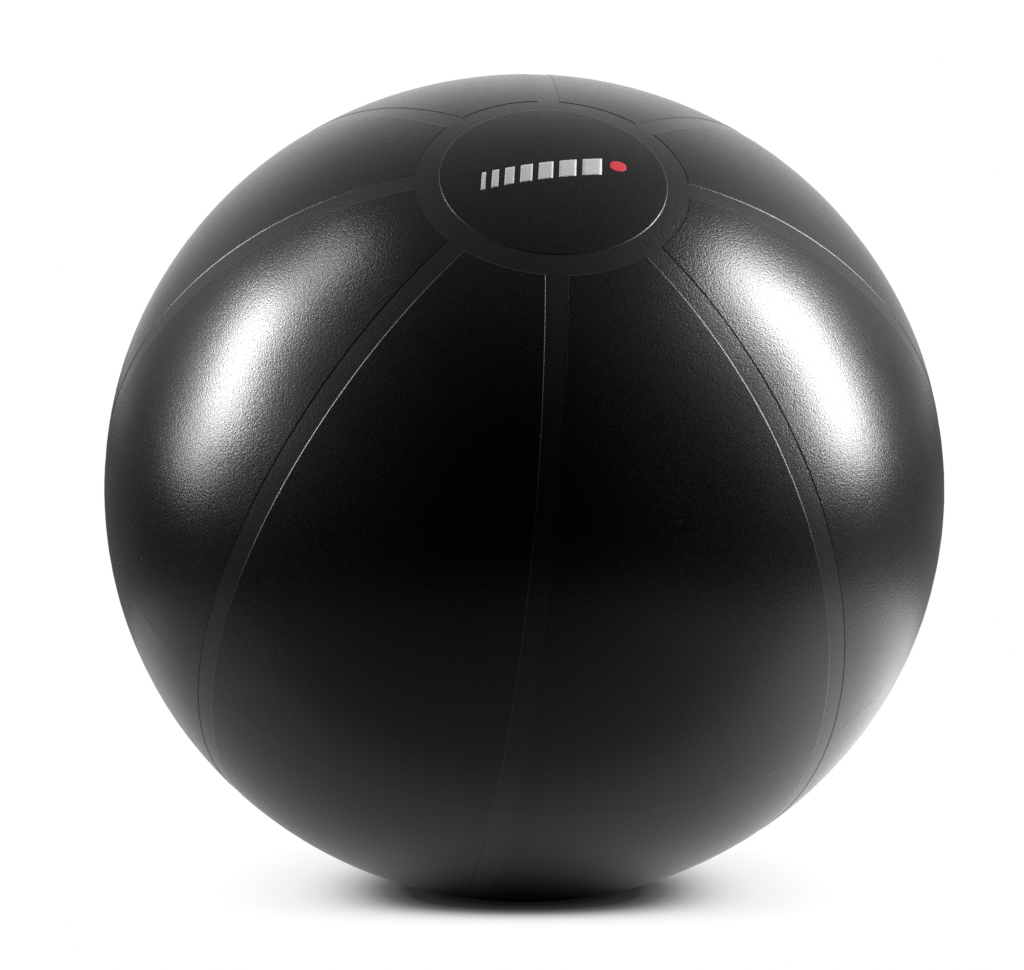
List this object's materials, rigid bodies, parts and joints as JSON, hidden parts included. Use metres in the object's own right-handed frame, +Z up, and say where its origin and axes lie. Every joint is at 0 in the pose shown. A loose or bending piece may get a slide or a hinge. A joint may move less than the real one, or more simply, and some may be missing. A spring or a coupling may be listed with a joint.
{
  "type": "exercise ball",
  "caption": "Inflatable exercise ball whose moulded skin has raised panels between narrow recessed bands, with a push-in air plug and a flat patch where it rests.",
  "frame": {"origin": "centre of the flat contact patch where the ball rests on the floor", "axes": "+Z up from the floor; the printed polar disc leans 39 degrees from straight up towards -Y, and the air valve is at the opposite pole, low at the back (+Y); X is to the right seen from the printed side"},
  "size_m": [0.6499, 0.65, 0.6384],
  "materials": {
    "skin": "satin black moulded vinyl with a fine pebbled grain",
    "seat": "smooth black vinyl",
    "plug": "white moulded polyethylene",
    "ink_grey": "pale grey print",
    "ink_red": "red print"
  },
  "bodies": {
    "ball": {"ball_skin": "skin", "valve_seat": "seat", "print_grey": "ink_grey", "print_red": "ink_red"},
    "plug": {"air_plug": "plug"}
  },
  "joints": [
    {"name": "plug_pull", "type": "slide", "parent": "ball", "child": "plug", "axis": [-0.0655, 0.6229, -0.7796], "range_m": [0, 0.03]}
  ]
}
